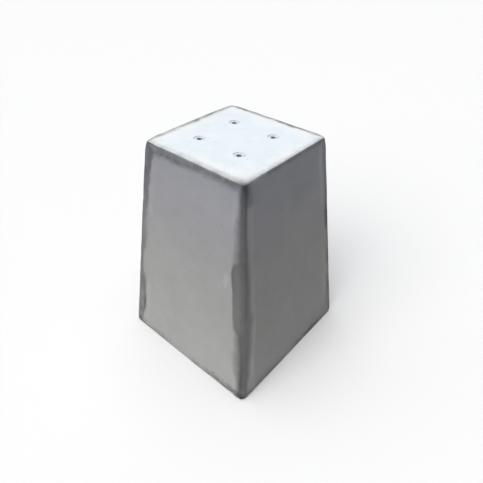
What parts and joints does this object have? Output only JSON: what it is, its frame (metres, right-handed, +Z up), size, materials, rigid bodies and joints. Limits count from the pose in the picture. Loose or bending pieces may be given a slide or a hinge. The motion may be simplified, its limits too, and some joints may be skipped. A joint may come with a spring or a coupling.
{
  "type": "precast concrete post base block",
  "caption": "Square concrete block, tapering upwards, that stands on the ground and carries a post shoe screwed to plugs in its top.",
  "frame": {"origin": "middle of the underside, on the ground", "axes": "+Z up through the middle of the top; +X and +Y square to two adjoining sides"},
  "size_m": [0.22, 0.22, 0.3],
  "materials": {
    "concrete": "cast, matt, with darker arrises",
    "plug_nylon": "moulded, satin"
  },
  "bodies": {
    "root": {"block": "concrete", "plug_1": "plug_nylon", "plug_2": "plug_nylon", "plug_3": "plug_nylon", "plug_4": "plug_nylon"}
  },
  "joints": []
}
